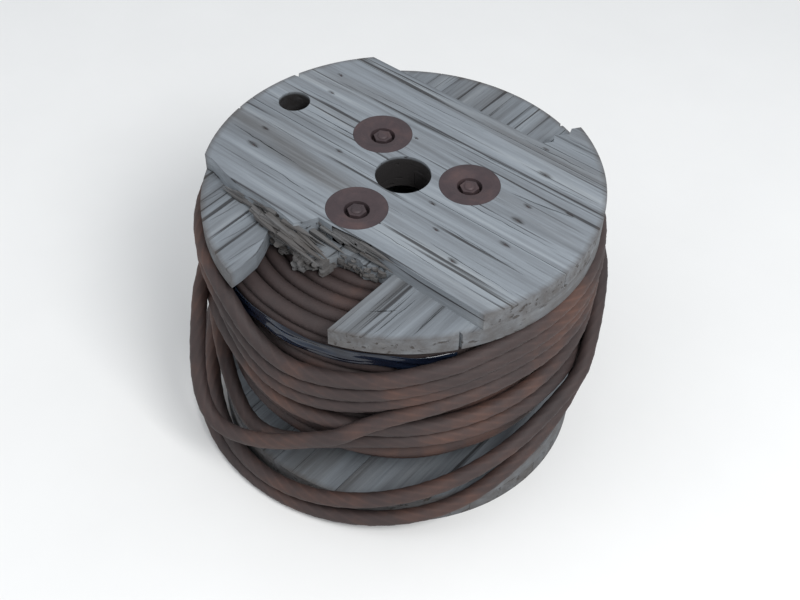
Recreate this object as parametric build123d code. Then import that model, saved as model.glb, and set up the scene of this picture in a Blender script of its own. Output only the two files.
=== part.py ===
from build123d import *
import math
import os

# Flanges: two layers of boards each, the layers crossed
flange_dia = 457.0
board_thick = 22.0
drum_height = 356.0
board_gap = 0.8
# How far a cutter or a drawn outline passes the face that it cuts
cut_past = 1.0
# Board joints, from the axis: the outer layer runs along X, the inner one along Y
outer_joints = [-106.0, -10.0, 132.0]
strip_width = 18.0
inner_joints = [-105.0, -8.0]

# Holes in the flanges
arbor_dia = 64.0
start_hole_dia = 38.0
start_hole_x = -185.0
start_hole_y = 18.0

# Barrel: staves set in a groove of the inner layers
barrel_dia = 203.0
stave_thick = 15.0
stave_count = 12
stave_gap = 0.6
groove_depth = 6.0
groove_fit = 0.4

# Tie bolts with dished washers
bolt_dia = 12.7
bolt_to_stave = 4.15
bolt_count = 3
first_bolt_angle = 28.0
bolt_fit = 0.4
# Wood between the first bolt's hole and the last joint of the inner layer
bolt_edge_room = 5.1
nut_flats = 19.0
nut_height = 9.0
bolt_past_nut = 2.0
bolt_end_chamfer = 1.5
washer_dia = 69.0
washer_plate = 2.5
dish_dia = 50.0
dish_depth = 3.0
cup_top_dia = 29.0
cup_floor_dia = 26.0
cup_depth = 12.0
washer_fit = 0.3

# Rope and its winding
rope_dia = 19.0
full_layers = 6
lower_layers = 4
row_count = 14
lower_rows = 3
turn_relief = 3.5
rope_play = 0.3

# Loose outer turns: a ring that stands out low on one side and high on the other, slipped down in front
loose_low_dia = 510.0
loose_belly_dia = 524.0
loose_belly_height = 100.0
loose_top_dia = 490.0
loose_shift = 16.0
loose_shift_angle = -120.0
loose_tilt = 5.0
loose_low_angle = -105.0
loose_turns = 8
loose_low_front = 52.0
loose_low_back = 200.0
loose_high_front = 222.0
loose_groove_wide = 4.0
loose_groove_deep = 3.0

# Film left round the winding below the upper flange
film_wide = 22.0
film_thick = 2.0
film_below_flange = 12.0
film_start_angle = -150.0
film_end_angle = -35.0

# Broken edges of the upper flange, as shares of its radius on the plan
near_edge_break = [
    (-0.797, -0.530), (-0.683, -0.560), (-0.538, -0.586), (-0.403, -0.582), (-0.249, -0.595),
    (-0.166, -0.608), (-0.131, -0.560), (-0.105, -0.500), (-0.018, -0.502), (0.061, -0.494),
    (0.210, -0.480), (0.368, -0.486), (0.508, -0.490),
]
inner_layer_break = [
    (-0.228, -1.05), (-0.223, -0.910), (-0.232, -0.801), (-0.263, -0.722), (-0.298, -0.648),
    (-0.245, -0.617), (-0.193, -0.643), (-0.144, -0.613), (-0.096, -0.656), (-0.035, -0.652),
    (0.009, -0.617), (0.039, -0.600), (0.057, -0.543), (0.096, -0.530), (0.166, -0.516),
    (0.201, -0.530), (0.263, -0.495), (0.376, -0.486),
]
far_board_break = [(0.376, 0.648), (0.416, 0.7), (0.389, 0.748), (0.442, 0.801), (0.425, 0.849), (0.468, 0.91)]

# Route of the lowest loose turn: angle round the drum, distance from the axis, height
low_turn_route = [
    (-174, 250, 112), (-160, 255, 78), (-146, 258, 47), (-131, 259, 23), (-115, 256, 10.5),
    (-99, 250, 9.8), (-84, 246, 11), (-69, 243, 16), (-55, 243, 26), (-41, 243, 38),
    (-28, 243, 58), (-15, 243, 91), (-3, 243, 120), (9, 242, 142), (21, 237, 164), (32, 227, 192),
]

flange_r = flange_dia / 2
barrel_r = barrel_dia / 2
bolt_r = bolt_dia / 2
bolt_circle_r = barrel_r - stave_thick - bolt_to_stave - bolt_r
first_bolt_x = bolt_circle_r * math.cos(math.radians(first_bolt_angle))
inner_joints.append(first_bolt_x + bolt_r + bolt_fit + bolt_edge_room)
rope_r = rope_dia / 2
lower_top = 2 * board_thick
upper_low = drum_height - lower_top
traverse = upper_low - lower_top

os.makedirs("parts", exist_ok=True)


def keep(shape, name):
    """Write one sub-part under its own name."""
    shape.label = name
    export_step(shape, f"parts/{name}.step")


def polygon(points):
    """Flat face inside a closed run of straight lines."""
    return make_face(Polyline(*points, close=True))


def on_flange(shares):
    """Points on the plan from shares of the flange's radius."""
    return [(x * flange_r, y * flange_r) for x, y in shares]


def turned(points):
    """Solid turned round Z from (radius, height) points."""
    outline = Polyline(*[(r, 0, z) for r, z in points], close=True)
    return revolve(make_face(outline), Axis.Z)


# Cutters shared by the boards
bolt_places = [
    Rot(0, 0, first_bolt_angle + i * 360 / bolt_count) * Pos(bolt_circle_r, 0, 0)
    for i in range(bolt_count)
]


def washer_pocket():
    """Stepped recess under a washer, cut down from the height of zero."""
    rim = Cylinder(washer_dia / 2 + washer_fit, washer_plate, align=(Align.CENTER, Align.CENTER, Align.MAX))
    dish_low = dish_depth + washer_plate + washer_fit
    dish = Cylinder(dish_dia / 2 + washer_fit, dish_low, align=(Align.CENTER, Align.CENTER, Align.MAX))
    cup_low = cup_depth + washer_plate + washer_fit
    cup_r = cup_top_dia / 2 + washer_plate + washer_fit
    cup = Cylinder(cup_r, cup_low, align=(Align.CENTER, Align.CENTER, Align.MAX))
    return rim + dish + cup


pocket = washer_pocket()
arbor_cut = Cylinder(arbor_dia / 2, 2 * drum_height)
start_cut = Pos(start_hole_x, start_hole_y, drum_height) * Cylinder(start_hole_dia / 2, 4 * board_thick + 2 * cut_past)
bolt_cuts = [place * Cylinder(bolt_r + bolt_fit, 2 * drum_height) for place in bolt_places]
upper_pockets = [Pos(0, 0, drum_height) * place * pocket for place in bolt_places]
lower_pockets = [place * Rot(180, 0, 0) * pocket for place in bolt_places]
groove_ring = Circle(barrel_r + groove_fit) - Circle(barrel_r - stave_thick - groove_fit)
groove_cut = Pos(0, 0, lower_top - groove_depth) * extrude(groove_ring, traverse + 2 * groove_depth)
shared_cuts = [arbor_cut] + bolt_cuts


def board(low, high, along_x, z, cuts, breaks=()):
    """One board of a flange: the part of the disc between two straight joints, cut through."""
    middle, width = (low + high) / 2, high - low - board_gap
    if along_x:
        strip = Pos(0, middle) * Rectangle(flange_dia + 2 * cut_past, width)
    else:
        strip = Pos(middle, 0) * Rectangle(width, flange_dia + 2 * cut_past)
    plan = Circle(flange_r) & strip
    for gap in breaks:
        plan = plan - gap
    solid = Pos(0, 0, z) * extrude(plan, board_thick)
    for cut in cuts:
        solid = solid - cut
    return solid


def flange_layer(name, joints, along_x, z, cuts, breaks=None):
    """A layer of boards side by side, from the least to the greatest place."""
    edges = [-flange_r - board_gap] + joints + [flange_r + board_gap]
    for i in range(len(edges) - 1):
        gaps = (breaks or {}).get(i, ())
        keep(board(edges[i], edges[i + 1], along_x, z, cuts, gaps), f"{name}_{i + 1}")


# Lower flange, whole
flange_layer("lower_outer_board", outer_joints, True, 0, shared_cuts + lower_pockets)
flange_layer("lower_inner_board", inner_joints, False, board_thick, shared_cuts + [groove_cut])

# Upper flange: two boards of the inner layer are broken off at the near edge
inner_edge = on_flange(inner_layer_break)
inner_gap = polygon(inner_edge + [(flange_dia, inner_edge[-1][1]), (flange_dia, -flange_dia)])
upper_inner_breaks = {1: [inner_gap], 2: [inner_gap]}
upper_inner_cuts = shared_cuts + [groove_cut, start_cut]
flange_layer("upper_inner_board", inner_joints, False, upper_low, upper_inner_cuts, upper_inner_breaks)

# The outer layer has lost most of its boards at both edges
outer_z = drum_height - board_thick
near_edge = on_flange(near_edge_break)
near_ends = [(-flange_dia, near_edge[0][1]), (flange_dia, near_edge[-1][1])]
near_gap = polygon(near_ends[:1] + near_edge + near_ends[1:] + [(flange_dia, -flange_dia), (-flange_dia, -flange_dia)])
upper_outer_cuts = shared_cuts + upper_pockets + [start_cut]
near_low = min(y for x, y in near_edge) - cut_past
near_board = board(near_low, outer_joints[1], True, outer_z, upper_outer_cuts, [near_gap])
middle_board = board(outer_joints[1], outer_joints[2], True, outer_z, upper_outer_cuts)
strip_high = outer_joints[2] + strip_width
strip_board = board(outer_joints[2], strip_high, True, outer_z, upper_outer_cuts)
far_edge = on_flange(far_board_break)
far_low = [(-flange_dia, outer_joints[2]), (far_edge[0][0], outer_joints[2])]
far_gap = polygon(far_low + far_edge + [(far_edge[-1][0], flange_dia), (-flange_dia, flange_dia)])
far_board = board(strip_high, flange_r + board_gap, True, outer_z, upper_outer_cuts, [far_gap])
keep(near_board, "upper_outer_board_1")
keep(middle_board, "upper_outer_board_2")
keep(strip_board, "upper_outer_strip")
keep(far_board, "upper_outer_board_3")

# Barrel of staves
half_angle = math.radians(180 / stave_count)
tip = stave_gap / 2 / math.sin(half_angle)
reach = barrel_dia
side = reach * math.tan(half_angle)
wedge = polygon([(tip, 0), (tip + reach, -side), (tip + reach, side)])
stave_plan = (Circle(barrel_r) - Circle(barrel_r - stave_thick)) & wedge
stave = Pos(0, 0, lower_top - groove_depth) * extrude(stave_plan, traverse + 2 * groove_depth)
for i in range(stave_count):
    keep(Rot(0, 0, i * 360 / stave_count) * stave, f"barrel_stave_{i + 1:02d}")

# Tie bolts, with a nut in the washer's cup at each end
nut_seat = drum_height - cup_depth
bolt_top = nut_seat + nut_height + bolt_past_nut
nut_plan = RegularPolygon(nut_flats / 2, 6, major_radius=False)
nut = extrude(nut_plan, nut_height)
shank = Pos(0, 0, drum_height / 2) * Cylinder(bolt_r, 2 * bolt_top - drum_height)
shank = chamfer(shank.edges().filter_by(GeomType.CIRCLE), bolt_end_chamfer)
bolt = shank + Pos(0, 0, nut_seat) * nut + Pos(0, 0, cup_depth - nut_height) * nut

# Dished washers, pressed in flush with the wood
washer = turned([
    (bolt_r + bolt_fit, -cup_depth), (cup_floor_dia / 2, -cup_depth), (cup_top_dia / 2, -dish_depth),
    (dish_dia / 2, 0), (washer_dia / 2, 0), (washer_dia / 2, -washer_plate),
    (dish_dia / 2, -washer_plate), (cup_top_dia / 2 + washer_plate, -dish_depth - washer_plate),
    (cup_floor_dia / 2 + washer_plate, -cup_depth - washer_plate), (bolt_r + bolt_fit, -cup_depth - washer_plate),
])
for i, place in enumerate(bolt_places):
    keep(place * bolt, f"tie_bolt_{i + 1}")
    keep(Pos(0, 0, drum_height) * place * washer, f"upper_washer_{i + 1}")
    keep(place * Rot(180, 0, 0) * washer, f"lower_washer_{i + 1}")


def turn_edge(start, end, count, out):
    """Points along one side of the winding: a low point before each turn, then its raised one."""
    points = []
    for i in range(count):
        low = [a + (b - a) * i / count for a, b in zip(start, end)]
        crest = [a + (b - a) * (i + 0.5) / count for a, b in zip(start, end)]
        points.append(tuple(low))
        points.append(tuple(c + turn_relief * o for c, o in zip(crest, out)))
    return points


# Winding: one turned solid round the barrel, its turns showing all over
wind_bore = barrel_r + rope_play
wind_low = lower_top + rope_play + turn_relief
wind_high = upper_low - rope_play - turn_relief
full_r = wind_bore + full_layers * rope_dia - turn_relief
small_r = wind_bore + lower_layers * rope_dia - turn_relief
row = (wind_high - wind_low) / row_count
step_z = wind_low + lower_rows * row
profile = turn_edge((wind_bore, wind_low), (small_r, wind_low), lower_layers, (0, -1))
profile += turn_edge((small_r, wind_low), (small_r, step_z), lower_rows, (1, 0))
profile += [(small_r, step_z)]
profile += turn_edge((full_r, step_z), (full_r, wind_high), row_count - lower_rows, (1, 0))
profile += turn_edge((full_r, wind_high), (wind_bore, wind_high), full_layers, (0, 1))
profile += [(wind_bore, wind_high)]
keep(turned(profile), "rope_winding")
wind_r = full_r + turn_relief

# Lowest loose turn: straight runs joined by arcs, as large as the runs allow
points = []
for angle, radius, height in low_turn_route:
    turn = math.radians(angle)
    points.append(Vector(radius * math.cos(turn), radius * math.sin(turn), height))
radii = []
for a, b, c in zip(points, points[1:], points[2:]):
    half_turn = math.radians((b - a).get_angle(c - b)) / 2
    radii.append(0.45 * min((b - a).length, (c - b).length) / math.tan(half_turn))
print("loose turn radii:", [round(r) for r in radii])
path = FilletPolyline(*points, radius=radii)


def rope_along(line, radius):
    """A round rod along a line, from its first end."""
    return sweep(Plane(line @ 0, z_dir=line % 0) * Circle(radius), path=line)


low_turn = rope_along(path, rope_r)
print("loose turn volume ratio:", round(low_turn.volume / (math.pi * rope_r**2 * path.length), 4))
keep(low_turn, "loose_turn_low")

# Film: a thin band on the winding, where it shows
half_film = math.radians((film_end_angle - film_start_angle) / 2)
film_mid = (film_start_angle + film_end_angle) / 2
far_x, far_y = flange_dia * math.cos(half_film), flange_dia * math.sin(half_film)
film_wedge = Rot(0, 0, film_mid) * polygon([(0, 0), (far_x, -far_y), (far_x, far_y)])
film_z = upper_low - film_below_flange - film_wide
film_r = wind_r + rope_play


def film_solid(room):
    """The band, or with room added on its free sides, the space that it needs."""
    ring = (Circle(film_r + film_thick + room) - Circle(film_r - room)) & film_wedge
    return Pos(0, 0, film_z - room) * extrude(ring, film_wide + 2 * room)


keep(film_solid(0), "film_band")

# Ring of loose turns, off the drum's axis
loose_place = Rot(0, 0, loose_shift_angle) * Pos(loose_shift, 0, 0) * Rot(0, -loose_tilt, 0)
loose_top = upper_low - rope_play
standing = (Align.CENTER, Align.CENTER, Align.MIN)


def bellied(depth):
    """Turned solid with the bellied outside of the loose turns, smaller all round by a depth."""
    low, belly, top = (d / 2 - depth for d in (loose_low_dia, loose_belly_dia, loose_top_dia))
    outline = [(0, -rope_dia), (low, -rope_dia), (belly, loose_belly_height), (top, drum_height), (0, drum_height)]
    return loose_place * turned(outline)


def leaning_slab(front, back, high, align):
    """Flat slab through a height at the low side of the ring and another at its far side."""
    lean = math.degrees(math.atan((back - front) / loose_belly_dia))
    wide = 2 * loose_belly_dia
    slab = Box(wide, wide, high, align=(Align.CENTER, Align.CENTER, align))
    return Pos(0, 0, (front + back) / 2) * Rot(0, 0, loose_low_angle) * Rot(0, lean, 0) * slab


ring = bellied(0)
ring = ring - Cylinder(wind_r + rope_play, drum_height, align=standing)
ring = ring - Cylinder(flange_r + rope_play, lower_top + rope_play, align=standing)
ring = ring - Cylinder(flange_dia, drum_height, align=(Align.CENTER, Align.CENTER, Align.MAX))
ring = ring - leaning_slab(loose_low_front, loose_low_back, drum_height, Align.MAX)
ring = ring - leaning_slab(loose_high_front, loose_top, drum_height, Align.MIN)
groove_core = bellied(loose_groove_deep)
for i in range(1, loose_turns):
    share = i / loose_turns
    front = loose_low_front + share * (loose_high_front - loose_low_front)
    back = loose_low_back + share * (loose_top - loose_low_back)
    ring = ring - (leaning_slab(front, back, loose_groove_wide, Align.CENTER) - groove_core)
ring = ring - film_solid(rope_play)
ring = ring - rope_along(path, rope_r + rope_play)
keep(ring, "loose_turns")
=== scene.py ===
import math
import random

import bmesh
import bpy
import numpy as np
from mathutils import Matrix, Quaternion, Vector


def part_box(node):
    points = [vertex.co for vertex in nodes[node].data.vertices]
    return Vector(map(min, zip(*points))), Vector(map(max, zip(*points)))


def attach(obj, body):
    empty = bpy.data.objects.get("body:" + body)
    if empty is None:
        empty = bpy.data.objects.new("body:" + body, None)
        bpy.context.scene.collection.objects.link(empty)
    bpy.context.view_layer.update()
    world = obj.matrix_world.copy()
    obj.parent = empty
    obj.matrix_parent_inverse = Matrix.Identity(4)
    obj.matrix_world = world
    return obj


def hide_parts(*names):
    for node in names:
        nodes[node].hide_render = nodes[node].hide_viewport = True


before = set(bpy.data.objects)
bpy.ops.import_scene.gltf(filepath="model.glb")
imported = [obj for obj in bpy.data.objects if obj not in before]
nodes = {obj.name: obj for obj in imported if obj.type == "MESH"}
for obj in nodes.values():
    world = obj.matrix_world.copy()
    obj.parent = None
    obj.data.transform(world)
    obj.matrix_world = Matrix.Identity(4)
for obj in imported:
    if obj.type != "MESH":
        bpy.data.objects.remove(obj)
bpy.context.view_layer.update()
scene = bpy.context.scene

MM = 0.001
# Heights of the upper flange's top and of its inner layer's top, and the rope's diameter, in metres
FLANGE_TOP = 0.356
INNER_TOP = 0.334
ROPE = 0.019
# Radius of the worn rim and place of the rope's start hole, in mm
RIM = 228.5
START_HOLE = (-185, 18)


def add(name, data):
    """A new object in the scene."""
    obj = bpy.data.objects.new(name, data)
    scene.collection.objects.link(obj)
    return obj


def mesh_object(name, verts, faces, smooth=True):
    """A new mesh object from points and faces."""
    mesh = bpy.data.meshes.new(name)
    mesh.from_pydata([tuple(v) for v in verts], [], faces)
    mesh.update()
    mesh.polygons.foreach_set("use_smooth", [smooth] * len(mesh.polygons))
    return add(name, mesh)


def around_axis(angle, r, z):
    """Point in metres from an angle in degrees and a distance and height in mm."""
    a = math.radians(angle)
    return Vector((r * math.cos(a), r * math.sin(a), z)) * MM


def eased(share):
    """From 0 to 1, level at both ends."""
    share = min(1.0, max(0.0, share))
    return share * share * (3 - 2 * share)


def face_quaternion(start, aim):
    """Turn of a camera or lamp at a place that looks at a point."""
    return (aim - start).to_track_quat("-Z", "Y")


# The photograph's place and roll, aimed at the middle of the drum
CAMERA_PLACE = (0.6234, -0.7745, 1.2056)
CAMERA_LENS = 52
CAMERA_ROLL = 1.43
DRUM_MIDDLE = Vector((0.0, 0.0, 0.15))


def make_camera():
    """The photograph's view."""
    data = bpy.data.cameras.new("camera")
    data.lens = CAMERA_LENS
    camera = add("camera", data)
    camera.location = CAMERA_PLACE
    camera.rotation_mode = "QUATERNION"
    roll = Quaternion((0, 0, 1), math.radians(CAMERA_ROLL))
    camera.rotation_quaternion = face_quaternion(camera.location, DRUM_MIDDLE) @ roll
    scene.camera = camera


# The loose turns, as one rope. Each turn: its height where it is lowest and behind, the angle of its lowest
# place, the angles in which it climbs to the left and to the right of it, its distance from the axis there
# and behind, and how far its loop stands out on the left. In mm and degrees.
TURNS = [
    (78, 165, -106, 20, 50, 231, 228, 0),
    (178, 214, -84, 26, 130, 229, 228, 0),
    (208, 266, -93, 17, 85, 231, 228, 0),
    (226, 283, -91, 18, 85, 231, 229, 0),
    (244, 301, -89, 19, 85, 230, 229, 0),
    (76, 244, -112, 13, 78, 252, 229, 34),
    (24, 225, -108, 100, 180, 245, 241, 0),
]
# In degrees: where a turn starts, how long it takes to change to the next one, and how far apart
# its points are
TURN_START = 140
CHANGE = 90
STEP = 3
# A loop that stands out: how far left of the turn's lowest place, and over what angle
LOOP_LEFT = 2
LOOP_WIDE = 10
# How much a turn rises and falls on its way, in mm
WOBBLE = 1.5
# Out of the winding to the first turn, from the last turn down, and back into the winding:
# angle round the drum, distance from the axis, height, in mm
FIRST = [(96, 206, 150), (108, 209, 154), (119, 217, 159), (130, 225, 163)]
LEAD = [(150, 243, 211), (162, 246, 180), (174, 248, 145)]
LOW_TURN = [
    (-174, 250, 112), (-160, 255, 78), (-146, 258, 47), (-131, 259, 23), (-115, 256, 10.5),
    (-99, 250, 9.8), (-84, 246, 11), (-69, 243, 16), (-55, 243, 26), (-41, 243, 38),
    (-28, 243, 58), (-15, 243, 91), (-3, 243, 120), (9, 242, 142), (21, 237, 164), (32, 227, 192),
]
LAST = [(42, 216, 194), (52, 206, 195)]

# Least distances of the loose rope from the axis: beside the lower flange, on the film and on the winding
OFF_FLANGE = 0.2385
OFF_FILM = 0.2305
OFF_WINDING = 0.2262
# Top of the space beside the lower flange, height from which the rope keeps off the film, and the film's
# middle and half its arc in degrees, each with a little room
BESIDE_FLANGE = 0.056
BESIDE_FILM = 0.268
FILM_MIDDLE, FILM_HALF = -92.5, 60
# Heights that the loose rope keeps to, so that it stays on the floor and under the upper flange
LEAST_Z, MOST_Z = 0.0098, 0.3015
# How close two places on the rope may come, how far along it they then are apart, and how hard they push
TURN_GAP = 1.06 * ROPE
NEAR_ALONG = 0.2
PUSH = 0.35


def on_turn(turn, angle):
    """Distance from the axis and height of one loose turn."""
    low, back, place, left, right, front_r, back_r, bulge = turn
    off = (angle - place + 180) % 360 - 180
    climb = eased(off / right) if off > 0 else eased(-off / left)
    stand_out = bulge * math.exp(-(((off + LOOP_LEFT) / LOOP_WIDE) ** 2))
    return front_r + (back_r - front_r) * climb + stand_out, low + (back - low) * climb


def coil_points():
    """The loose turns, each one changing to the next behind the drum."""
    points = []
    for i, turn in enumerate(TURNS):
        following = TURNS[min(i + 1, len(TURNS) - 1)]
        for angle in range(TURN_START, TURN_START + 360, STEP):
            share = eased((angle - TURN_START - 360 + CHANGE) / CHANGE)
            wobble = WOBBLE * math.sin(math.radians(2.3 * angle + 140 * i))
            r, z = on_turn(turn, angle)
            r2, z2 = on_turn(following, angle)
            points.append(around_axis(angle, r + (r2 - r) * share, z + (z2 - z) * share + wobble))
    return np.array(points)


def part_touching(points, rounds=60):
    """Moves turns apart where they lie in one another.

    It also keeps them off the winding, the film, the flanges and the floor.
    """
    line = points.copy()
    steps = np.linalg.norm(np.diff(line, axis=0), axis=1)
    along = np.concatenate([[0], np.cumsum(steps)])
    apart = np.abs(along[:, None] - along[None]) > NEAR_ALONG
    for _ in range(rounds):
        gap = line[:, None] - line[None]
        dist = np.linalg.norm(gap, axis=2) + 1e-9
        deep = np.where(apart, np.clip(TURN_GAP - dist, 0, None), 0)
        line += PUSH * np.einsum("ij,ijk->ik", deep / dist, gap)
        line[1:-1] = 0.9 * line[1:-1] + 0.05 * (line[:-2] + line[2:])
        r = np.hypot(line[:, 0], line[:, 1])
        angle = np.degrees(np.arctan2(line[:, 1], line[:, 0]))
        on_film = (line[:, 2] > BESIDE_FILM) & (np.abs(angle - FILM_MIDDLE) < FILM_HALF)
        least = np.where(line[:, 2] < BESIDE_FLANGE, OFF_FLANGE, np.where(on_film, OFF_FILM, OFF_WINDING))
        line[:, :2] *= (np.maximum(r, least) / r)[:, None]
        line[:, 2] = np.clip(line[:, 2], LEAST_Z, MOST_Z)
    return line


def spline_points(name, points):
    """Points along a NURBS spline that has these control points."""
    curve = bpy.data.curves.new(name, "CURVE")
    curve.dimensions = "3D"
    spline = curve.splines.new("NURBS")
    spline.points.add(len(points) - 1)
    for point, co in zip(spline.points, points):
        point.co = (*co, 1)
    spline.order_u = 3
    spline.use_endpoint_u = True
    spline.resolution_u = 4
    holder = add(name, curve)
    bpy.context.view_layer.update()
    mesh = bpy.data.meshes.new_from_object(holder)
    found = np.array([v.co[:] for v in mesh.vertices])
    bpy.data.objects.remove(holder)
    bpy.data.meshes.remove(mesh)
    return found


def even(line, step):
    """The same line with its points a step apart."""
    along = np.concatenate([[0], np.cumsum(np.linalg.norm(np.diff(line, axis=0), axis=1))])
    places = np.linspace(0, along[-1], int(along[-1] / step) + 1)
    return np.stack([np.interp(places, along, line[:, k]) for k in range(3)], axis=1)


# The rope's strands, the length in which they turn once round it, how far their middles lie from its own,
# and the depth to which the grooves between them reach, both as shares of its radius
STRANDS = 6
LAY = 0.13
STRAND_OUT = 2 / 3
VALLEY = 0.965
# How far apart the rope's rings of points are, in metres, and the points in a ring
LOOSE_STEP, LOOSE_AROUND = 0.0056, 24
WINDING_STEP, WINDING_AROUND = 0.0085, 18


def strand_lobes(around):
    """The laid rope's outline in shares of its radius, a lobe for each strand."""
    per = around // STRANDS
    lobes = []
    for j in range(around):
        psi = math.radians((j % per) * 60 / per - 30)
        inner = max(0.0, (1 - STRAND_OUT) ** 2 - (STRAND_OUT * math.sin(psi)) ** 2)
        lobes.append(max(VALLEY, STRAND_OUT * math.cos(psi) + math.sqrt(inner)))
    return np.array(lobes)


def tube_faces(count, around):
    """Faces of a closed tube that has its points in rings."""
    faces = []
    for i in range(count - 1):
        for j in range(around):
            k = (j + 1) % around
            faces.append((i * around + j, i * around + k, (i + 1) * around + k, (i + 1) * around + j))
    faces.append(tuple(reversed(range(around))))
    faces.append(tuple((count - 1) * around + j for j in range(around)))
    return faces


def rope_mesh(name, line, around):
    """A laid rope along a line: its strands show as lobes that turn round it."""
    lobe = strand_lobes(around)
    tangent = np.gradient(line, axis=0)
    tangent /= np.linalg.norm(tangent, axis=1)[:, None]
    side = Vector(tangent[0]).orthogonal().normalized()
    verts = []
    run = 0.0
    for i, (point, way) in enumerate(zip(line, tangent)):
        way = Vector(way)
        side = (side - way * side.dot(way)).normalized()
        up = way.cross(side)
        if i:
            run += float(np.linalg.norm(line[i] - line[i - 1]))
        turn = 2 * math.pi * (np.arange(around) / around + run / LAY)
        ring = np.outer(np.cos(turn) * lobe, side) + np.outer(np.sin(turn) * lobe, up)
        verts.append(point + ring * ROPE / 2)
    obj = mesh_object(name, np.concatenate(verts), tube_faces(len(line), around))
    # Depth of the grooves between the strands, which the rope's material uses to paint shade into them
    groove = obj.data.attributes.new("groove", "FLOAT", "POINT")
    depth = np.tile((1 - lobe) / (1 - VALLEY), len(line)).astype(np.float32)
    groove.data.foreach_set("value", depth)
    return obj


def make_loose_rope():
    """The loose turns and the lowest one on the floor, one rope from the winding and back to it."""
    coil = part_touching(coil_points())
    first = [around_axis(*p) for p in FIRST]
    rest = [around_axis(*p) for p in LEAD + LOW_TURN + LAST]
    line = even(spline_points("loose_line", [*first, *coil, *rest]), LOOSE_STEP)
    rope = rope_mesh("loose_rope", line, LOOSE_AROUND)
    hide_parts("loose_turns", "loose_turn_low")
    return rope


# The winding's outer turns, over the top, down the outside, in to the thinner part, down it and in.
# From and to as distance from the axis and height in mm, number of turns, first angle.
WINDING = [
    ((111.5, 301.8), (206.3, 301.8), 5, 0),
    ((206.3, 301.8), (206.3, 113.5), 10.15, 0),
    ((206.3, 113.5), (168.3, 113.0), 2, 54),
    ((168.3, 113.0), (168.3, 54.2), 3.1, 54),
    ((168.3, 54.2), (157.0, 60.0), 0.07, 90),
]
POINTS_A_TURN = 60
# How far a tight turn strays from its course, in mm
WINDING_WOBBLE = 0.5
# Outline of the plain core under the turns, in mm, and the steps round it
CORE = [(102.2, 302), (206, 302), (206, 113), (168, 113), (168, 54), (102.2, 54)]
CORE_STEPS = 72


def winding_line():
    """The winding's outer turns as one line."""
    points = []
    for start, end, turns, first in WINDING:
        for i in range(int(turns * POINTS_A_TURN)):
            share = i / (turns * POINTS_A_TURN)
            angle = first + 360 * share * turns
            r = start[0] + (end[0] - start[0]) * share
            z = start[1] + (end[1] - start[1]) * share
            r += WINDING_WOBBLE * math.sin(math.radians(3 * angle + 31 * turns))
            points.append(around_axis(angle, r, z))
    return np.array(points)


def make_winding():
    """The tight turns, with a plain core under them that closes the gaps."""
    rope = rope_mesh("winding_turns", even(winding_line(), WINDING_STEP), WINDING_AROUND)
    verts = [around_axis(360 * i / CORE_STEPS, r, z) for i in range(CORE_STEPS) for r, z in CORE]
    faces = []
    n = len(CORE)
    for i in range(CORE_STEPS):
        for j in range(n):
            k, m = (j + 1) % n, (i + 1) % CORE_STEPS
            faces.append((i * n + j, m * n + j, m * n + k, i * n + k))
    core = mesh_object("winding_core", verts, faces, smooth=False)
    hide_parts("rope_winding")
    return rope, core


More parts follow.
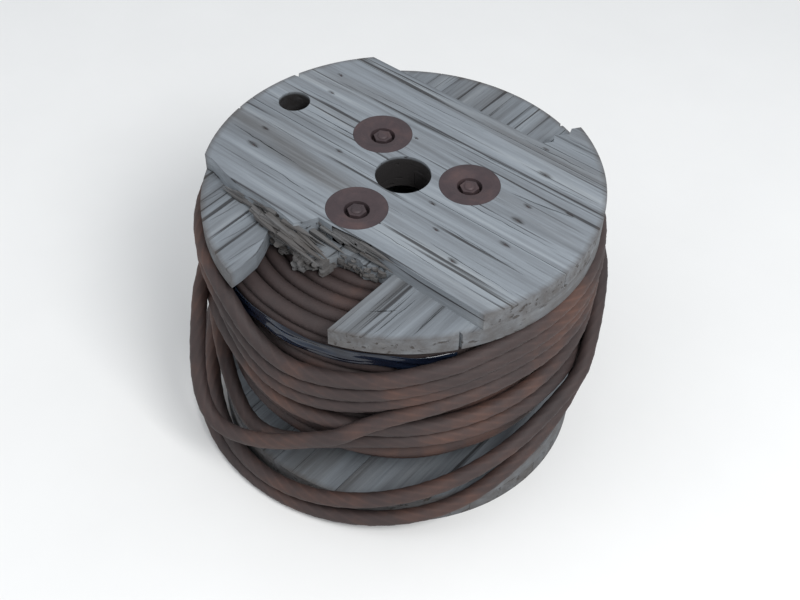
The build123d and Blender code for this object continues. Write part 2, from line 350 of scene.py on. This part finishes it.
class Tree:
    """A material's node tree, built in short steps."""

    def __init__(self, name):
        self.material = bpy.data.materials.new(name)
        self.material.use_nodes = True
        self.tree = self.material.node_tree
        self.shader = self.tree.nodes["Principled BSDF"]

    def node(self, kind, **values):
        """A node with its settings, or else its inputs, set."""
        made = self.tree.nodes.new(kind)
        for key, value in values.items():
            if hasattr(made, key):
                setattr(made, key, value)
            else:
                made.inputs[key].default_value = value
        return made

    def link(self, source, target, place=None):
        """Links a socket to another, or to an input of a node."""
        socket = target if place is None else target.inputs[place]
        self.tree.links.new(source, socket)

    def feed(self, value, socket):
        """Links a socket, or writes a plain number or colour."""
        if isinstance(value, bpy.types.NodeSocket):
            self.link(value, socket)
        else:
            socket.default_value = (*value, 1) if isinstance(value, tuple) else value

    def coords(self, scale=(1, 1, 1), location=(0, 0, 0)):
        """The object's own coordinates, stretched."""
        place = self.node("ShaderNodeTexCoord")
        mapping = self.node("ShaderNodeMapping")
        mapping.inputs["Scale"].default_value = scale
        mapping.inputs["Location"].default_value = location
        self.link(place.outputs["Object"], mapping, "Vector")
        return mapping.outputs["Vector"]

    def noise(self, vector, scale=1.0, detail=6.0, rough=0.6, distort=0.0):
        """Noise from 0 to 1."""
        made = self.node(
            "ShaderNodeTexNoise", Scale=scale, Detail=detail, Roughness=rough, Distortion=distort,
        )
        self.link(vector, made, "Vector")
        return made.outputs["Fac"]

    def vector_math(self, operation, vector, other=None):
        """One vector operation."""
        made = self.node("ShaderNodeVectorMath", operation=operation)
        self.link(vector, made, 0)
        if other is not None:
            made.inputs[1].default_value = other
        return made

    def ramp(self, value, stops):
        """Colour ramp: (place, colour) stops."""
        made = self.node("ShaderNodeValToRGB")
        while len(made.color_ramp.elements) < len(stops):
            made.color_ramp.elements.new(0.5)
        for element, (place, colour) in zip(made.color_ramp.elements, stops):
            element.position = place
            element.color = (*colour, 1)
        self.link(value, made, "Fac")
        return made.outputs["Color"]

    def mix(self, share, a, b):
        """Mix of two colours, each a socket or a plain colour."""
        made = self.node("ShaderNodeMix", data_type="RGBA", blend_type="MIX")
        for place, value in ((0, share), (6, a), (7, b)):
            self.feed(value, made.inputs[place])
        return made.outputs[2]

    def math(self, operation, a, b=0.0):
        """One operation on two numbers, each a socket or a plain number."""
        made = self.node("ShaderNodeMath", operation=operation)
        self.feed(a, made.inputs[0])
        self.feed(b, made.inputs[1])
        return made.outputs[0]

    def bump(self, height, distance, strength=1.0, below=None):
        """A relief, on top of another one if there is one."""
        made = self.node("ShaderNodeBump", Distance=distance, Strength=strength)
        self.link(height, made, "Height")
        if below is not None:
            self.link(below, made, "Normal")
        return made.outputs["Normal"]

    def finish(self, colour, roughness, normal):
        """The finished material."""
        self.link(colour, self.shader, "Base Color")
        self.shader.inputs["Roughness"].default_value = roughness
        self.link(normal, self.shader, "Normal")
        return self.material


# Nail and gouge marks on the top, in mm: x, y, length
NAILS = [
    (-163, 60, 12), (-179, 94, 10), (-175, -42, 12), (-165, -72, 20), (-82, -16, 12), (55, -16, 11),
    (154, -16, 16), (142, 23, 18), (137, 49, 12), (127, -72, 14), (121, 105, 20), (96, 143, 10),
    (180, 68, 12), (30, -78, 8), (84, -46, 10), (-30, 60, 7),
]
# A mark's stain reaches this many times its length
STAIN_REACH = 0.27

BLACK, WHITE = (0, 0, 0), (1, 1, 1)
RIM_DIRT = (0.060, 0.046, 0.037)
# Painted shade for the inside of the bore and of the start hole
HOLE_SHADE = (0.012, 0.010, 0.010)
CHECK_DARK = (0.016, 0.015, 0.016)
NAIL_STAIN = (0.030, 0.025, 0.023)
# Torn wood's own grey-brown, made darker still as painted shade of the broken area
SHADED_FRESH_WOOD = (0.128, 0.104, 0.086)


def stain_mask(tree, marks, stretch):
    """One near any of the marks and zero away from them, drawn out along the grain."""
    vector = tree.coords(stretch)
    nearest = None
    for x, y, size in marks:
        point = (x * MM * stretch[0], y * MM * stretch[1], FLANGE_TOP * stretch[2])
        far = tree.vector_math("DISTANCE", vector, point).outputs["Value"]
        share = tree.math("DIVIDE", far, STAIN_REACH * size * MM)
        nearest = share if nearest is None else tree.math("MINIMUM", nearest, share)
    blur = tree.noise(tree.coords((40, 120, 120)), 1.0, 4)
    shifted = tree.math("ADD", nearest, tree.math("MULTIPLY", tree.math("SUBTRACT", blur, 0.5), 0.9))
    return tree.math("SUBTRACT", 1.0, tree.math("MINIMUM", tree.math("MAXIMUM", shifted, 0.0), 1.0))


def reach(tree, x, y):
    """Distance from an upright line at x and y in mm, a little uneven."""
    place = tree.coords((1, 1, 1), (-x * MM, -y * MM, 0))
    flat = tree.vector_math("MULTIPLY", place, (1, 1, 0)).outputs["Vector"]
    length = tree.vector_math("LENGTH", flat).outputs["Value"]
    uneven = tree.math("MULTIPLY", tree.noise(tree.coords(), 55.0, 5), 0.010)
    return tree.math("ADD", length, uneven)


def rim_mask(tree):
    """Dirt on the worn rim."""
    return tree.ramp(reach(tree, 0, 0), [(0.2275, BLACK), (0.2345, (0.62, 0.62, 0.62))])


def hole_shade_mask(tree):
    """Painted shade inside the arbor bore, and inside the rope's start hole, which only the upper flange has,
    below the flange's top.
    """
    bore = tree.ramp(reach(tree, 0, 0), [(0.0415, WHITE), (0.0440, BLACK)])
    start = tree.ramp(reach(tree, *START_HOLE), [(0.0270, WHITE), (0.0290, BLACK)])
    height = tree.node("ShaderNodeSeparateXYZ")
    tree.link(tree.coords(), height, "Vector")
    below_top = tree.ramp(height.outputs["Z"], [(0.3515, WHITE), (0.3552, BLACK)])
    upper = tree.math("MULTIPLY", start, tree.math("GREATER_THAN", height.outputs["Z"], 0.300))
    return tree.math("MULTIPLY", tree.math("MAXIMUM", bore, upper), below_top)


def wood(name, along_x, seed, tint=1.0, marks=(), pale=0.0):
    """Weathered softwood: silvery fibres along the grain, dark checks, brown streaks, and painted shade in
    the bore and the start hole.
    """
    tree = Tree(name)
    shift = (seed * 1.7, seed * 3.1, seed * 0.9)

    def streaks(slow, fast, *settings):
        """Noise drawn out along the grain."""
        scale = (slow, fast, fast) if along_x else (fast, slow, fast)
        return tree.noise(tree.coords(scale, shift), 1.0, *settings)

    def tinted(*colour):
        """The colour, lighter or darker by the tint."""
        return tuple(part * tint for part in colour)

    grain = streaks(2.2, 60.0, 9, 0.68, 0.25)
    broad = streaks(1.6, 11, 4, 0.55, 0.4)
    fine = streaks(9, 420, 5, 0.7)
    checks = streaks(2.8, 150, 3, 0.5, 0.15)
    fibres = tree.ramp(grain, [
        (0.30, tinted(0.026, 0.028, 0.032)), (0.43, tinted(0.090, 0.100, 0.113)),
        (0.55, tinted(0.175, 0.198, 0.222)), (0.72, tinted(0.315, 0.342, 0.360)),
    ])
    brown = tree.ramp(broad, [(0.36, tinted(0.085, 0.070, 0.058)), (0.52, tinted(0.195, 0.215, 0.238))])
    colour = tree.mix(0.36, fibres, brown)
    colour = tree.mix(tree.math("MULTIPLY", fine, 0.22), colour, tinted(0.31, 0.34, 0.36))
    dark = tree.ramp(checks, [(0.33, WHITE), (0.40, BLACK)])
    colour = tree.mix(tree.math("MULTIPLY", dark, 0.85), colour, CHECK_DARK)
    colour = tree.mix(rim_mask(tree), colour, RIM_DIRT)
    # Painted shade inside the bore and the start hole, below the flange's top
    colour = tree.mix(hole_shade_mask(tree), colour, HOLE_SHADE)
    # Torn wood's own colour, darkened in part as painted shade
    if pale:
        colour = tree.mix(pale, colour, SHADED_FRESH_WOOD)
    if marks:
        stretch = (0.45, 1.0, 1.0) if along_x else (1.0, 0.45, 1.0)
        mask = stain_mask(tree, marks, stretch)
        colour = tree.mix(tree.math("MULTIPLY", mask, 0.9), colour, NAIL_STAIN)
    rough = tree.bump(grain, 0.0016, 0.9)
    normal = tree.bump(fine, 0.0004, 0.6, rough)
    sunk = tree.math("SUBTRACT", 1.0, dark)
    normal = tree.bump(sunk, 0.0012, 0.8, normal)
    return tree.finish(colour, 0.88, normal)


def rusty_rope():
    """Dark rusty wire rope, brown on its crowns, with painted shade that darkens its grooves nearly to black.
    """
    tree = Tree("rusty_rope")
    groove = tree.node("ShaderNodeAttribute", attribute_name="groove").outputs["Fac"]
    grime = tree.noise(tree.coords(), 9.0, 6, 0.6)
    speck = tree.noise(tree.coords(), 260.0, 4, 0.7)
    base = tree.ramp(grime, [
        (0.32, (0.019, 0.014, 0.015)), (0.50, (0.040, 0.025, 0.024)), (0.66, (0.100, 0.046, 0.032)),
    ])
    colour = tree.mix(tree.math("MULTIPLY", speck, 0.35), base, (0.070, 0.040, 0.032))
    # Painted shade: the grooves between the strands are darkened towards nearly black
    colour = tree.mix(tree.math("MULTIPLY", groove, 0.3), colour, (0.016, 0.011, 0.011))
    normal = tree.bump(speck, 0.0005, 0.7)
    return tree.finish(colour, 0.72, normal)


def rusty_steel():
    """Evenly rusted steel, purple-brown with orange bloom."""
    tree = Tree("rusty_steel")
    patch = tree.noise(tree.coords(), 38.0, 7, 0.65, 0.3)
    speck = tree.noise(tree.coords(), 420.0, 4, 0.7)
    base = tree.ramp(patch, [
        (0.30, (0.030, 0.022, 0.026)), (0.52, (0.050, 0.034, 0.038)), (0.74, (0.088, 0.052, 0.050)),
    ])
    colour = tree.mix(tree.math("MULTIPLY", speck, 0.4), base, (0.078, 0.052, 0.053))
    normal = tree.bump(speck, 0.0004, 0.6, tree.bump(patch, 0.0008, 0.5))
    tree.shader.inputs["Metallic"].default_value = 0.25
    return tree.finish(colour, 0.62, normal)


def dark_film():
    """Glossy plastic film, dark blue-black, scuffed grey in places."""
    tree = Tree("dark_film")
    scuff = tree.noise(tree.coords((14, 14, 60)), 1.0, 5, 0.6)
    wrinkle = tree.noise(tree.coords((10, 10, 130)), 1.0, 2, 0.4, 0.5)
    colour = tree.ramp(scuff, [
        (0.45, (0.004, 0.006, 0.013)), (0.68, (0.009, 0.017, 0.034)), (0.90, (0.05, 0.07, 0.10)),
    ])
    normal = tree.bump(wrinkle, 0.0025, 0.6)
    return tree.finish(colour, 0.14, normal)


# Cracks along the grain, in mm: from, to, width and depth
OUTER_CRACKS = {
    "upper_outer_board_1": [
        (-212, -61, -98, -65, 1.8, 12), (-72, -101, -30, -101, 1.6, 9), (-198, -30, -120, -33, 1.0, 6),
        (-130, -88, -60, -92, 1.1, 7), (-40, -50, 60, -52, 1.0, 6), (70, -36, 190, -40, 1.2, 8),
        (20, -88, 150, -92, 1.1, 7), (90, -66, 205, -70, 1.4, 9), (-60, -26, -10, -27, 0.9, 5),
    ],
    "upper_outer_board_2": [
        (-166, 16, -36, 17, 2.2, 14), (108, 54, 188, 66, 2.4, 14), (-205, 44, -100, 48, 1.1, 7),
        (-150, 92, -20, 96, 1.2, 8), (20, 84, 130, 88, 1.2, 8), (40, 8, 205, 12, 1.3, 8),
        (-110, 118, 30, 121, 1.0, 6), (120, 96, 190, 99, 1.2, 8), (-190, 72, -140, 74, 1.0, 6),
    ],
    "upper_outer_strip": [(60, 140, 168, 142, 1.6, 12), (-150, 139, -40, 141, 1.2, 8)],
    "upper_outer_board_3": [(104, 176, 140, 177, 1.2, 8), (110, 163, 160, 164, 1.2, 8)],
}
INNER_CRACKS = {
    "upper_inner_board_1": [
        (-122, -128, -128, -186, 1.6, 9), (-150, -128, -157, -170, 1.3, 8), (-178, -118, -184, -140, 1.1, 6),
    ],
    "upper_inner_board_2": [(-62, -150, -68, -214, 1.5, 9), (-88, -140, -95, -200, 1.3, 8)],
    "upper_inner_board_3": [
        (12, -112, 14, -146, 1.3, 9), (34, -110, 33, -150, 1.5, 10), (58, -108, 60, -142, 1.2, 8),
    ],
    "upper_inner_board_4": [
        (121, -122, 118, -192, 2.0, 12), (117, -147, 92, -171, 1.8, 9), (150, -118, 149, -166, 1.2, 7),
        (100, -118, 98, -150, 1.0, 6),
    ],
}
# How light the outer layer's boards are
OUTER_TINTS = {
    "upper_outer_board_1": 1.0, "upper_outer_board_2": 1.06, "upper_outer_strip": 0.9,
    "upper_outer_board_3": 0.92,
}
# Width and depth of the mark that a nail leaves, in mm
NAIL_MARK = (4.5, 3.5)
# Longest straight part of a crack, in mm
CRACK_STEP = 9
# Notches in the rim, in mm: middle, width, how far in
NOTCHES = [(-222, 60, 9, 7), (-150, 172, 8, 6), (-226, -34, 7, 4), (186, -132, 8, 5), (70, 217, 8, 5)]
# The wedges that cut them reach this far from the axis, and this far below and above the board's top
WEDGE_OUT, WEDGE_BELOW, WEDGE_ABOVE = 240, 26, 2
# Width of the boards' worn edges, in metres
WORN_EDGE = 0.0009
# Broken edges of the outer and of the inner layer, on the plan in mm
BREAK = [
    (-182, -121), (-156, -128), (-123, -134), (-92, -133), (-57, -136), (-38, -139), (-30, -128), (-24, -114),
    (14, -113), (48, -110), (84, -111), (116, -112),
]
INNER_BREAK = [
    (-68, -148), (-56, -141), (-44, -147), (-33, -140), (-22, -150), (-8, -149), (2, -141), (9, -137),
    (13, -124), (22, -121), (38, -118), (46, -121), (60, -113), (78, -112),
]


def on_line(line, x):
    """Height of a run of straight lines at x."""
    return float(np.interp(x, [p[0] for p in line], [p[1] for p in line]))


def groove_into(bm, start, end, wide, deep, top, rng):
    """A closed V that tapers to nothing at both ends, to be cut out of a board's top."""
    a, b = Vector(start), Vector(end)
    across = Vector((-(b - a).y, (b - a).x)).normalized()
    count = max(4, int((b - a).length / CRACK_STEP))
    rows = []
    for i in range(count + 1):
        s = i / count
        swell = max(0.06, math.sin(math.pi * s) ** 0.6 * rng.uniform(0.65, 1.0))
        mid = a + (b - a) * s + across * rng.uniform(-0.6, 0.6)
        half = across * wide / 2 * swell
        rows.append([
            bm.verts.new((*((mid + half) * MM), top + MM)), bm.verts.new((*((mid - half) * MM), top + MM)),
            bm.verts.new((*(mid * MM), top - deep * swell * MM)),
        ])
    for p, q in zip(rows, rows[1:]):
        for k in range(3):
            m = (k + 1) % 3
            bm.faces.new((p[k], q[k], q[m], p[m]))
    bm.faces.new(rows[0])
    bm.faces.new(reversed(rows[-1]))


def crack_solids(box, cracks, top, rng, hairs, along_x):
    """Solids of a board's cracks, nail marks and hair cracks."""
    low, high = box
    bm = bmesh.new()
    for x0, y0, x1, y1, wide, deep in cracks:
        groove_into(bm, (x0, y0), (x1, y1), wide, deep, top, rng)
    for x, y, size in NAILS if along_x else ():
        if low.y < y * MM < high.y:
            groove_into(bm, (x - size / 2, y + 1), (x + size / 2, y - 1), *NAIL_MARK, top, rng)
    for _ in range(hairs):
        x, y = (rng.uniform(low[k] + 0.02, high[k] - 0.02) / MM for k in (0, 1))
        run = rng.uniform(18, 60)
        x1, y1 = (x + run, y + rng.uniform(-1.5, 1.5)) if along_x else (x + rng.uniform(-1.5, 1.5), y + run)
        groove_into(bm, (x, y), (x1, y1), rng.uniform(0.4, 0.8), rng.uniform(1.5, 3), top, rng)
    return bm


def notch_solids(top):
    """Upright wedges with their sharp edges in the rim, wider at the board's top."""
    bm = bmesh.new()
    for x, y, wide, deep in NOTCHES:
        out = Vector((x, y, 0)).normalized()
        side = Vector((-out.y, out.x, 0)) * wide / 2
        tip = out * (RIM - deep)
        far = out * WEDGE_OUT
        rows = []
        for z, grow in ((top / MM - WEDGE_BELOW, 0.6), (top / MM + WEDGE_ABOVE, 1.0)):
            up = Vector((0, 0, z))
            corners = (tip + up, far + side * 2 * grow + up, far - side * 2 * grow + up)
            rows.append([bm.verts.new(corner * MM) for corner in corners])
        for k in range(3):
            m = (k + 1) % 3
            bm.faces.new((rows[0][k], rows[0][m], rows[1][m], rows[1][k]))
        bm.faces.new(rows[0])
        bm.faces.new(rows[1])
    return bm


def applied(obj):
    """The object with its modifiers made part of its mesh."""
    bpy.context.view_layer.update()
    result = bpy.data.meshes.new_from_object(obj.evaluated_get(bpy.context.evaluated_depsgraph_get()))
    obj.modifiers.clear()
    obj.data = result
    return obj


def cut_out(board, bm, name, overlapping):
    """Cuts closed solids, which may lie in one another, out of a board."""
    bmesh.ops.recalc_face_normals(bm, faces=bm.faces)
    mesh = bpy.data.meshes.new(name)
    bm.to_mesh(mesh)
    bm.free()
    cutter = add(name, mesh)
    modifier = board.modifiers.new(name, "BOOLEAN")
    modifier.operation, modifier.solver, modifier.object = "DIFFERENCE", "EXACT", cutter
    modifier.use_self = overlapping
    applied(board)
    bpy.data.objects.remove(cutter)


def clean_copy(node):
    """The CAD node's solid with its points joined and its flat faces whole."""
    bm = bmesh.new()
    bm.from_mesh(nodes[node].data)
    bmesh.ops.remove_doubles(bm, verts=bm.verts, dist=1e-6)
    bmesh.ops.dissolve_limit(bm, angle_limit=math.radians(1), verts=bm.verts, edges=bm.edges)
    verts = [v.co.copy() for v in bm.verts]
    bm.verts.index_update()
    faces = [[v.index for v in f.verts] for f in bm.faces]
    bm.free()
    return mesh_object(node + "_worn", verts, faces, smooth=False)


def worn_board(node, cracks, top, seed, hairs, along_x):
    """A flange board with its cracks, gouges and rim notches cut in and its edges worn."""
    board = clean_copy(node)
    solids = crack_solids(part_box(node), cracks, top, random.Random(seed), hairs, along_x)
    cut_out(board, solids, "cracks", True)
    cut_out(board, notch_solids(top), "notches", False)
    bevel = board.modifiers.new("wear", "BEVEL")
    bevel.width, bevel.segments, bevel.angle_limit = WORN_EDGE, 2, math.radians(50)
    applied(board)
    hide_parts(node)
    return board


# Rings of a sliver of wood and of a blunt stub: share of the length, least and most share of the width
SLIVER = ((0.0, 1.0, 1.0), (0.35, 0.7, 0.95), (0.7, 0.35, 0.6))
STUB = ((0.0, 1.0, 1.0), (0.5, 0.75, 1.0), (0.93, 0.45, 0.9))


def splinter_into(verts, faces, base, way, size, rng, form=SLIVER):
    """A splinter, wide at its root and bent a little. Its size is length, width and thickness in mm."""
    length, wide, thick = size
    way = Vector(way).normalized()
    side = way.cross(Vector((0, 0, 1))).normalized() * wide / 2
    up = Vector((0, 0, thick / 2))
    bend = Vector((0, 0, rng.uniform(-0.06, 0.10) * length))
    first = len(verts)
    for share, least, most in form:
        full = rng.uniform(least, most)
        mid = Vector(base) + way * length * share + bend * share * share
        for a, b in ((-1, -1), (1, -1), (1, 1), (-1, 1)):
            verts.append((mid + side * a * full + up * b * full) * MM)
    verts.append((Vector(base) + way * length + bend) * MM)
    for row in (0, 4):
        for k in range(4):
            m = (k + 1) % 4
            faces.append((first + row + k, first + row + m, first + row + 4 + m, first + row + 4 + k))
    for k in range(4):
        faces.append((first + 8 + k, first + 8 + (k + 1) % 4, first + 12))
    faces.append((first + 3, first + 2, first + 1, first))


def make_splinters():
    """Torn fibres along the broken edges of both layers."""
    rng = random.Random(11)
    verts, faces = [], []
    # Along the outer layer's broken edge
    for _ in range(60):
        x = rng.uniform(-128, 50)
        y = on_line(BREAK, x) - rng.uniform(-1.5, 2.0)
        way = (rng.choice((-1, 1)), rng.uniform(-0.08, 0.01), rng.uniform(-0.04, 0.03))
        base = (x, y, rng.uniform(336, 352))
        size = rng.uniform(14, 52), rng.uniform(2.0, 6.5), rng.uniform(1.6, 5.0)
        splinter_into(verts, faces, base, way, size, rng)
    # Long ones that hang over the gap at the left
    for _ in range(54):
        x = rng.uniform(-104, -22)
        y = on_line(BREAK, x) - rng.uniform(0, 14)
        way = (1, rng.uniform(-0.2, 0.04), rng.uniform(-0.14, 0.02))
        base = (x, y, rng.uniform(332, 348))
        size = rng.uniform(22, 72), rng.uniform(2.2, 8.5), rng.uniform(1.8, 6.0)
        splinter_into(verts, faces, base, way, size, rng)
    # Stubs on the torn ends of the inner layer's boards, longer at the left
    for _ in range(64):
        x = rng.uniform(-66, 66)
        y = on_line(INNER_BREAK, x) + 3
        way = (rng.uniform(-0.35, 0.35), -1, rng.uniform(-0.12, 0.08))
        base = (x, y, rng.uniform(315, 330))
        size = rng.uniform(4, 7 + 10 * (x < 10)), rng.uniform(4.0, 13.0), rng.uniform(2.5, 8.0)
        splinter_into(verts, faces, base, way, size, rng, STUB)
    return mesh_object("splinters", verts, faces, smooth=False)


# A nail head's rings, in mm: radius, height from the flange's top. And the points round it.
NAIL_RINGS = ((1.9, -3.2), (1.9, -1.5), (1.2, -1.2))
NAIL_ROUND = 12


def make_nails():
    """Nail heads driven into the top, each a shallow dome."""
    verts, faces = [], []
    ring = NAIL_ROUND
    for x, y, _ in NAILS:
        first = len(verts)
        for r, z in NAIL_RINGS:
            for k in range(ring):
                a = 2 * math.pi * k / ring
                flat = Vector((x + r * math.cos(a), y + r * math.sin(a), 0)) * MM
                verts.append(flat + Vector((0, 0, FLANGE_TOP + z * MM)))
        for row in (0, 1):
            for k in range(ring):
                m = (k + 1) % ring
                low = first + row * ring
                faces.append((low + k, low + m, low + ring + m, low + ring + k))
        faces.append([first + 2 * ring + k for k in range(ring)])
        faces.append([first + k for k in reversed(range(ring))])
    return mesh_object("nail_heads", verts, faces)


# The film: first angle and arc in degrees, distance from the axis, heights of its edges and thickness in mm,
# steps along and across it
FILM_START, FILM_ARC = -150, 115
FILM_R = 217.4
FILM_BOTTOM, FILM_TOP = 278, 300
FILM_THICK = 0.4
FILM_ALONG, FILM_ACROSS = 260, 12


def make_film():
    """A creased strip of film round the top of the winding."""
    rng = random.Random(4)
    waves = [(rng.uniform(0.6, 4), rng.uniform(0, 6.3), rng.uniform(-2.2, 2.2)) for _ in range(9)]
    verts, faces = [], []
    for i in range(FILM_ALONG + 1):
        s = i / FILM_ALONG
        low = FILM_BOTTOM + 2.2 * math.sin(17 * s + 1) + 1.2 * math.sin(41 * s)
        high = FILM_TOP + 1.2 * math.sin(23 * s + 2) - 3.0 * s
        for j in range(FILM_ACROSS + 1):
            t = j / FILM_ACROSS
            fold = sum(math.sin(rate * 14 * s + place + slant * 5 * t) for rate, place, slant in waves) / 9
            crease = abs(math.sin(6.3 * t + 2.4 * math.sin(7 * s) + 1.3)) ** 4
            r = FILM_R + 1.5 * (1 + fold) + 2.4 * crease * (0.5 + 0.5 * math.sin(19 * s + 4 * t))
            verts.append(around_axis(FILM_START + FILM_ARC * s, r, low + (high - low) * t))
    row = FILM_ACROSS + 1
    for i in range(FILM_ALONG):
        for j in range(FILM_ACROSS):
            a = i * row + j
            faces.append((a, a + 1, a + row + 1, a + row))
    film = mesh_object("film_strip", verts, faces)
    thick = film.modifiers.new("thick", "SOLIDIFY")
    thick.thickness = FILM_THICK * MM
    applied(film)
    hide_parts("film_band")
    return film


def dress(piece, material):
    """Gives a piece its material and slot, and lets it ride with the drum."""
    piece.data.materials.clear()
    piece.data.materials.append(material)
    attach(piece, "root")


def make_rope_and_film(rope_finish):
    """The loose rope, the winding and the film."""
    dress(make_loose_rope(), rope_finish)
    for piece in make_winding():
        dress(piece, rope_finish)
    dress(make_film(), dark_film())


def make_upper_flange():
    """The upper flange's worn boards and their splinters."""
    for i, (node, cracks) in enumerate(OUTER_CRACKS.items()):
        material = wood(f"wood_{node}", True, 3 + 5 * i, OUTER_TINTS[node], NAILS)
        dress(worn_board(node, cracks, FLANGE_TOP, 20 + i, 5, True), material)
    for i, (node, cracks) in enumerate(INNER_CRACKS.items()):
        material = wood(f"wood_{node}", False, 40 + 5 * i, 0.9)
        dress(worn_board(node, cracks, INNER_TOP, 60 + i, 3, False), material)
    # The splinters' tint of 0.55 and torn-wood colour give partly their own grey-brown and partly painted
    # shade of the broken area
    dress(make_splinters(), wood("wood_splinters", True, 90, 0.55, pale=0.3))


def paint_cad_nodes(steel):
    """Materials for the nodes that are kept from the CAD model."""
    for node, obj in nodes.items():
        if node.startswith(("tie_bolt", "upper_washer", "lower_washer")):
            material = steel
        elif node.startswith("lower_outer"):
            material = wood(f"wood_{node}", True, 100 + 7 * int(node[-1]), 0.8)
        elif node.startswith(("lower_inner", "barrel_stave")):
            material = wood(f"wood_{node}", False, 140 + 7 * int(node[-1]), 0.8)
        else:
            continue
        obj.data.materials.clear()
        obj.data.materials.append(material)


# Soft lamps: name, place, power in watts, size in metres
LAMPS = [("key", (1.5, -0.5, 2.0), 42, 0.9), ("fill", (-1.6, -1.6, 1.4), 10, 1.6)]
SKY_COLOUR = (0.93, 0.96, 1.0, 1)
SKY_STRENGTH = 0.75
FLOOR_HALF = 6


def make_stage():
    """A pale floor under plain soft light."""
    tree = Tree("floor")
    mottle = tree.noise(tree.coords(), 5.0, 4)
    colour = tree.ramp(mottle, [(0.3, (0.78, 0.78, 0.77)), (0.7, (0.80, 0.80, 0.79))])
    material = tree.finish(colour, 0.9, tree.bump(mottle, 0.0001, 0.1))
    corners = [(x * FLOOR_HALF, y * FLOOR_HALF, 0) for x, y in ((-1, -1), (1, -1), (1, 1), (-1, 1))]
    floor = mesh_object("floor", corners, [(0, 1, 2, 3)])
    floor.data.materials.append(material)
    world = bpy.data.worlds.new("world")
    scene.world = world
    world.use_nodes = True
    back = world.node_tree.nodes["Background"]
    back.inputs["Color"].default_value = SKY_COLOUR
    back.inputs["Strength"].default_value = SKY_STRENGTH
    for name, place, power, size in LAMPS:
        data = bpy.data.lights.new(name, "AREA")
        data.energy = power
        data.size = size
        light = add(name, data)
        light.location = place
        light.rotation_mode = "QUATERNION"
        light.rotation_quaternion = face_quaternion(light.location, DRUM_MIDDLE)


def main():
    make_camera()
    rope_finish = rusty_rope()
    steel = rusty_steel()
    make_rope_and_film(rope_finish)
    make_upper_flange()
    dress(make_nails(), steel)
    paint_cad_nodes(steel)
    make_stage()


main()
scene.view_settings.view_transform = "Standard"
